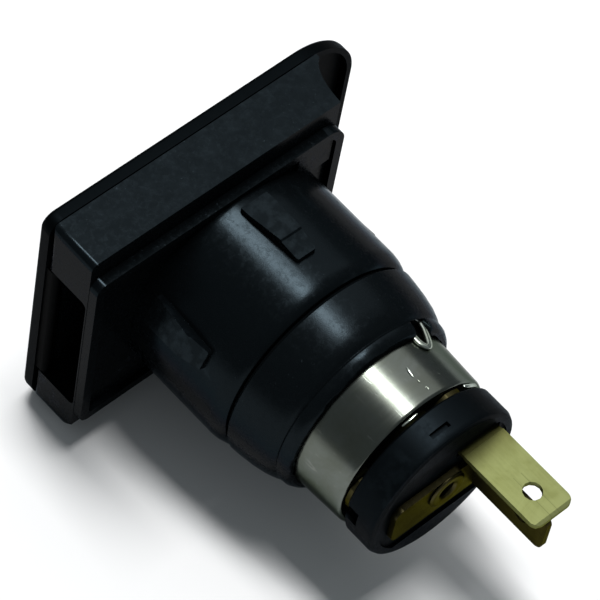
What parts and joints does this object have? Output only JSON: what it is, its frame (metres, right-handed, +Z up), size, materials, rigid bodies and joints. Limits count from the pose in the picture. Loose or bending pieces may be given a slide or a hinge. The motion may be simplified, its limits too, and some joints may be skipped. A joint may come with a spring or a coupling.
{
  "type": "12 volt accessory socket",
  "caption": "Panel-mount 12 V accessory socket with a hinged lid, snap-in round body, nickel shell, spring contact and flat blade terminals.",
  "frame": {"origin": "on the socket's axis, in the plane of the head's rear rim, which seats on the panel", "axes": "the lid faces -Y and the blades point to +Y along the socket's axis; +Z is up, across the lid's width; +X is the lid's hinge end and -X its finger lip"},
  "size_m": [0.0485, 0.0611, 0.0386],
  "materials": {
    "head_plastic": "satin moulded black",
    "body_plastic": "semi-gloss moulded black",
    "sleeve_plastic": "semi-gloss moulded black",
    "cap_plastic": "moulded black",
    "seal_rubber": "matt",
    "steel": "plated",
    "nickel": "satin nickel plate",
    "brass": "dull pale brass",
    "insulation": "pressed fibre"
  },
  "bodies": {
    "base": {"housing": "body_plastic", "hinge_pin": "steel", "lock_sleeve": "sleeve_plastic", "shell": "nickel", "side_contact_1": "nickel", "side_contact_2": "nickel", "insulating_disc": "insulation", "contact_cup": "steel", "contact_spring": "steel", "insulating_bush": "insulation", "earth_terminal": "brass", "end_cap": "cap_plastic", "power_terminal": "brass", "rivet": "brass"},
    "lid": {"lid": "head_plastic", "lid_seal": "seal_rubber"},
    "button": {"contact_button": "brass"}
  },
  "joints": [
    {"name": "lid_hinge", "type": "hinge", "parent": "base", "child": "lid", "pos_m": [0.02155, -0.0076, 0], "axis": [0, 0, 1], "range_deg": [0, 90]},
    {"name": "contact_press", "type": "slide", "parent": "base", "child": "button", "axis": [0, 1, 0], "range_m": [0, 0.0015], "stiffness_N_per_m": 800, "springref_m": -0.002, "deforming": ["contact_spring"]}
  ]
}
